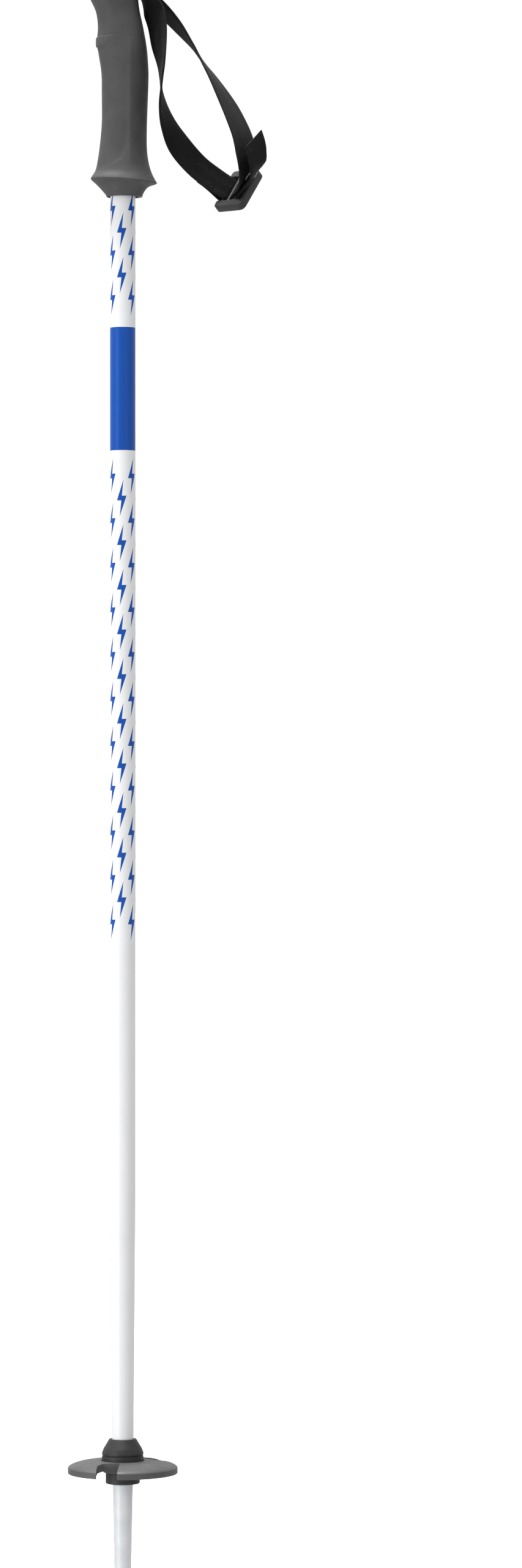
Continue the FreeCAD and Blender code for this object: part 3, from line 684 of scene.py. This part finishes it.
FREE_END = [
    ((82.6, -19.2, 904.4), (0.46, 0.50, 0.73)), ((84.9, -24, 910), (0.53, 0.58, 0.62)),
    ((84.6, -26, 917.2), (0.63, 0.65, 0.43)), ((83.4, -26.6, 923.4), (0.66, 0.62, 0.42)),
    ((81.2, -27, 930.4), (0.66, 0.62, 0.40)),
]

# The zigzag stitch rows: their places along the band past the lap round the end bar, and each row's half
# length along the band and half width across it.
TACK_OFFSETS, TACK_HALF_LENGTH, TACK_HALF_WIDTH = (6.5, 12.5), 1.0, 6.6


def on_buckle(along, across, above):
    """A point given in the buckle's own directions."""
    return BUCKLE_CENTRE + ALONG * along + ACROSS * across + ABOVE * above


def arc(centre, first, second, radius, start, end, across, step=30):
    """Stations round a bar: angles in degrees are measured from the first direction to the second."""
    count = max(2, round(abs(end - start) / step))
    stations = []
    for number in range(count + 1):
        angle = math.radians(start + (end - start) * number / count)
        place = centre + (first * math.cos(angle) + second * math.sin(angle)) * radius
        stations.append((place, across))
    return stations


class Band:
    """A smooth flat band through stations, which can be read at any length along it."""

    def __init__(self, stations):
        rows = through([[*place, *across] for place, across in stations], 10)
        self.places = [Vector(row[:3]) for row in rows]
        self.sides = [Vector(row[3:]) for row in rows]
        self.lengths = [0.0]
        for before, after in zip(self.places, self.places[1:]):
            self.lengths.append(self.lengths[-1] + (after - before).length)
        self.marks = self.lengths[::10]

    def at(self, length):
        """The band's middle, the direction across it and the way its face looks."""
        last = len(self.places) - 2
        low = min(max(sum(1 for mark in self.lengths if mark <= length) - 1, 0), last)
        share = (length - self.lengths[low]) / (self.lengths[low + 1] - self.lengths[low])
        place = self.places[low].lerp(self.places[low + 1], share)
        side = self.sides[low].lerp(self.sides[low + 1], share)
        start, end = max(low - 1, 0), min(low + 2, last + 1)
        way = (self.places[end] - self.places[start]).normalized()
        side = (side - way * side.dot(way)).normalized()
        return place, side, way.cross(side)


def band_section():
    """The band's cross-section: flat faces and soft selvedges."""
    half, thick = WEB_WIDTH / 2, WEB_THICK / 2
    across = [-half + 0.5 + (WEB_WIDTH - 1) * n / 8 for n in range(9)]
    edge = [(half - 0.12, thick * 0.75), (half, 0), (half - 0.12, -thick * 0.75)]
    top = [(u, thick) for u in across]
    bottom = [(u, -thick) for u in reversed(across)]
    return top + edge + bottom + [(-u, -v) for u, v in edge]


def band_piece(name, band, start, end, slant=0):
    """A length of the band as a closed mesh.  A slant shortens its -across edge by that much."""
    section = band_section()
    count = max(6, round((end - start) / 1.1))
    points, faces, places = [], [], []
    for number in range(count + 1):
        for u, v in section:
            length = start + (end - start) * number / count
            fade = slant * (0.5 - u / WEB_WIDTH) * (number / count) ** 2
            place, side, face = band.at(length - fade)
            points.append(place + side * u + face * v)
            places.append((u * MM, (length - fade) * MM))
    ring = len(section)
    for number in range(count):
        for corner in range(ring):
            after = (corner + 1) % ring
            base = number * ring
            faces.append([base + corner, base + after, base + ring + after, base + ring + corner])
    faces.append(list(range(ring)))
    faces.append(list(range(count * ring, (count + 1) * ring)))
    piece = mesh_piece(name, points, faces, 60)
    layer = piece.data.uv_layers.new(name=WEAVE_MAP)
    for loop in piece.data.loops:
        layer.data[loop.index].uv = places[loop.vertex_index]
    return piece


def whole_strap():
    """The webbing from its sewn end, round the end bar, the pin and the thin bar to its loose end."""
    bar = on_buckle(END_BAR_PLACE, 0, 0)
    lap = END_BAR_RADIUS + 0.3 + WEB_THICK / 2
    near = [(Vector(place), Vector(across)) for place, across in NEAR_STRAND]
    lying = []
    for (place, across), (before, _) in ((near[-2], near[-3]), (near[-1], near[-2])):
        under = (place - before).normalized().cross(across.normalized())
        lying.append((place - under * (WEB_THICK + 0.06), across))
    middle = (lying[0][0].lerp(lying[1][0], 0.45), lying[0][1].lerp(lying[1][1], 0.45))
    stations = [middle, lying[1]]
    stations += arc(bar, ALONG, ABOVE, lap, -143, 45, ACROSS)
    stations += list(reversed(near))
    pin_turn = arc(PIN_CENTRE, Vector((1, 0, 0)), Vector((0, 0, 1)), PIN_LAP, 228, 44, Vector((0, 1, 0)))
    stations += pin_turn[1:-1]
    seam_at_pin = len(stations)
    stations += [(Vector(place), Vector(across)) for place, across in FAR_STRAND]
    seam_at_buckle = len(stations)
    turn_radius = (WAY_OUT - ENTRY) / 2
    thin_bar = on_buckle((ENTRY + WAY_OUT) / 2, 0, -BUCKLE_THICK / 2)
    stations.append((on_buckle(ENTRY, 0, BUCKLE_THICK / 2), ACROSS))
    stations += arc(thin_bar, ALONG, ABOVE, turn_radius, 180, 360, ACROSS)
    stations.append((on_buckle(WAY_OUT, 0, BUCKLE_THICK / 2 + EXIT_RISE), ACROSS))
    stations += [(Vector(place), Vector(across)) for place, across in FREE_END]
    band = Band(stations)
    return band, band.marks[seam_at_pin], band.marks[seam_at_buckle], band.marks[7]


def zigzag(name, band, middle, half_length, face, teeth=13):
    """A row of dense zigzag stitches across the band."""
    rail, sides, radius = [], 6, 0.2
    for tooth in range(teeth + 1):
        u = -TACK_HALF_WIDTH + 2 * TACK_HALF_WIDTH * tooth / teeth
        place, side, normal = band.at(middle + half_length * (1 if tooth % 2 else -1))
        rail.append(place + side * u + normal * face)
    points, faces = [], []
    for number, place in enumerate(rail):
        ahead = rail[min(number + 1, teeth)] - rail[max(number - 1, 0)]
        _, side, normal = band.at(middle)
        sideways = ahead.cross(normal).normalized()
        for step in range(sides):
            angle = 2 * math.pi * step / sides
            points.append(place + (sideways * math.cos(angle) + normal * math.sin(angle) * 0.8) * radius)
    for number in range(teeth):
        for step in range(sides):
            after = (step + 1) % sides
            base = number * sides
            faces.append([base + step, base + after, base + sides + after, base + sides + step])
    faces.append(list(range(sides)))
    faces.append(list(range(teeth * sides, (teeth + 1) * sides)))
    return mesh_piece(name, points, faces)


def build_strap():
    band, pin_seam, buckle_seam, bar_lap_end = whole_strap()
    total = band.lengths[-1]
    palm = band_piece("strap_palm_side", band, 0, pin_seam)
    place_on(palm, "strap", "strap_webbing", "wrist_strap")
    back = band_piece("strap_back_side", band, pin_seam, buckle_seam)
    place_on(back, None, "strap_webbing")
    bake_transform(back)
    tail = band_piece("strap_loose_end", band, buckle_seam, total, slant=FREE_END_SLANT)
    place_on(tail, "buckle", "strap_webbing", "strap_tail")
    face = WEB_THICK / 2 + 0.1
    rows = []
    for number, offset in enumerate(TACK_OFFSETS):
        rows.append(zigzag(f"tack{number}", band, bar_lap_end + offset, TACK_HALF_LENGTH, face))
    tacks = joined("strap_bar_tacks", rows)
    place_on(tacks, "strap", "strap_webbing", finish=THREAD)


def flat_plate(name, outlines, thick, edge):
    """A plate with rounded edges, from one outer outline and the holes in it."""
    curve = bpy.data.curves.new(name, "CURVE")
    curve.dimensions = "2D"
    curve.fill_mode = "BOTH"
    curve.extrude = (thick / 2 - edge) * MM
    curve.bevel_depth = edge * MM
    curve.bevel_resolution = 2
    curve.offset = -edge * MM
    for outline in outlines:
        spline = curve.splines.new("POLY")
        spline.points.add(len(outline) - 1)
        for point, (x, y) in zip(spline.points, outline):
            point.co = (x * MM, y * MM, 0, 1)
        spline.use_cyclic_u = True
    source = bpy.data.objects.new(name + "_outline", curve)
    bpy.context.scene.collection.objects.link(source)
    shown = bpy.context.evaluated_depsgraph_get()
    mesh = bpy.data.meshes.new_from_object(source.evaluated_get(shown))
    bpy.data.objects.remove(source)
    plate = bpy.data.objects.new(name, mesh)
    bpy.context.scene.collection.objects.link(plate)
    return plate


def rectangle(left, right, half, radius):
    corners = [(left, -half, radius), (right, -half, radius), (right, half, radius), (left, half, radius)]
    return rounded(corners, True)


def build_buckle():
    """A frame whose open end is bridged by the end bar, with two slots for the webbing and two ribs."""
    left, right, half, window, gap_end, corner = -12.7, 9.8, 15.5, 10.0, -4.6, 4.2
    outer = rounded([
        (left, -half, corner), (right, -half, corner), (right, half, corner), (left, half, corner),
        (left, window, 1), (gap_end, window, 0.8), (gap_end, -window, 0.8), (left, -window, 1)], True)
    slots = [rectangle(low, high, window, 0.5) for low, high in (ENTRY_SLOT, EXIT_SLOT)]
    plate = flat_plate("plate", [outer] + [list(reversed(slot)) for slot in slots], BUCKLE_THICK, 0.6)
    parts = [plate]
    reach = END_BAR_HALF
    bar = [(0, -reach, 0), (END_BAR_RADIUS, -reach, 0), (END_BAR_RADIUS, reach, 0), (0, reach, 0)]
    parts.append(lathe("end_bar", bar, turns=32))
    lay = Matrix.Rotation(math.radians(90), 4, "X")
    parts[-1].data.transform(Matrix.Translation((END_BAR_PLACE * MM, 0, 0)) @ lay)
    for along in RIB_PLACES:
        rib = [(0, -7, 0), (0.45, -7, 0.4), (0.45, 7, 0.4), (0, 7, 0)]
        parts.append(lathe("rib", rib, turns=16))
        parts[-1].data.transform(Matrix.Translation((along * MM, 0, BUCKLE_THICK / 2 * MM)) @ lay)
    buckle = joined("buckle_frame", parts)
    place = Matrix((ALONG, ACROSS, ABOVE)).transposed().to_4x4()
    place.translation = BUCKLE_CENTRE * MM
    buckle.data.transform(place)
    shade(buckle, 35)
    place_on(buckle, "buckle", "buckle_grey", "strap_buckle")


# ---------------------------------------------------------------- stage

# The floor lies below the pole's tip, so that a basket pulled off over the tip stays in sight.
FLOOR_LEVEL = -200


def build_stage():
    floor = lathe("floor", [(0, -600, 0), (26000, -600, 0), (26000, FLOOR_LEVEL, 0), (0, FLOOR_LEVEL, 0)])
    surface = Finish("floor_white", Roughness=0.6, Emission_Strength=0.9)
    surface.surface.inputs["Emission Color"].default_value = grey(1)
    surface.colour(surface.mix(surface.noise(900, 2), grey(0.86), grey(0.9)))
    surface.dress(floor)
    sky = lathe("backdrop", [(0, -25000, 0), (29000, -25000, 0), (29000, 25000, 0), (0, 25000, 0)])
    glow = Finish("backdrop_white", Base_Color=grey(0), Emission_Strength=1.0)
    glow.surface.inputs["Emission Color"].default_value = grey(1)
    glow.dress(sky)
    for ray in ("visible_diffuse", "visible_glossy", "visible_transmission", "visible_shadow"):
        setattr(sky, ray, False)
    floor.visible_diffuse = False
    floor.visible_glossy = False


def softbox(name, place, target, width, height, power):
    """A rectangular lamp that faces its target, in metres and watts."""
    lamp = bpy.data.lights.new(name, "AREA")
    lamp.shape = "RECTANGLE"
    lamp.size, lamp.size_y = width, height
    lamp.energy = power
    box = bpy.data.objects.new(name, lamp)
    box.location = place
    box.rotation_euler = (Vector(target) - Vector(place)).to_track_quat("-Z", "Y").to_euler()
    bpy.context.scene.collection.objects.link(box)


def build_lights():
    middle = (0, 0, 0.55)
    softbox("key", (-2.6, -1.5, 0.9), middle, 0.9, 2.2, 5)
    softbox("front_left", (-1.9, -1.9, 0.7), middle, 0.25, 2.0, 4.5)
    softbox("front_right", (1.5, -2.2, 0.7), middle, 0.14, 2.0, 1.4)
    softbox("top", (-0.4, 0, 3.2), middle, 1.1, 1.1, 150)
    softbox("bounce", (-0.9, -0.7, 0.12), (0, 0, 0.9), 0.8, 0.8, 6)
    world = bpy.data.worlds.new("room")
    world.use_nodes = True
    world.node_tree.nodes["Background"].inputs["Color"].default_value = grey(1)
    world.node_tree.nodes["Background"].inputs["Strength"].default_value = 0.66
    bpy.context.scene.world = world
    bpy.context.scene.view_settings.view_transform = "Standard"


# In metres, except the film.
FILM_WIDTH = 36
CAMERA_DISTANCE = 3.3
SEEN_HEIGHT = 0.987
SEEN_MIDDLE = (0.0871, 0.5236)


def build_camera():
    """A level camera that looks along +Y and takes in the seen height at the pole's distance."""
    camera = bpy.data.cameras.new("camera")
    camera.sensor_width = FILM_WIDTH
    camera.lens = FILM_WIDTH * CAMERA_DISTANCE / SEEN_HEIGHT
    camera.clip_end = 100
    viewer = bpy.data.objects.new("camera", camera)
    viewer.location = (SEEN_MIDDLE[0], -CAMERA_DISTANCE, SEEN_MIDDLE[1])
    viewer.rotation_euler = (math.radians(90), 0, 0)
    bpy.context.scene.collection.objects.link(viewer)
    bpy.context.scene.camera = viewer


def dress_kept_nodes():
    """The CAD nodes that no piece stands for keep their shape and take a detailed finish."""
    kept = {"grip_core": "hard_black", "tube_plug": "hard_black", "cap_screw": "screw_steel",
            "strap_pin": "screw_steel"}
    for name, slot in kept.items():
        FINISHES[slot].dress(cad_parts[name])


build_camera()
build_stage()
build_lights()
build_shaft()
build_ferrule()
build_basket()
build_grip()
build_strap()
build_buckle()
dress_kept_nodes()
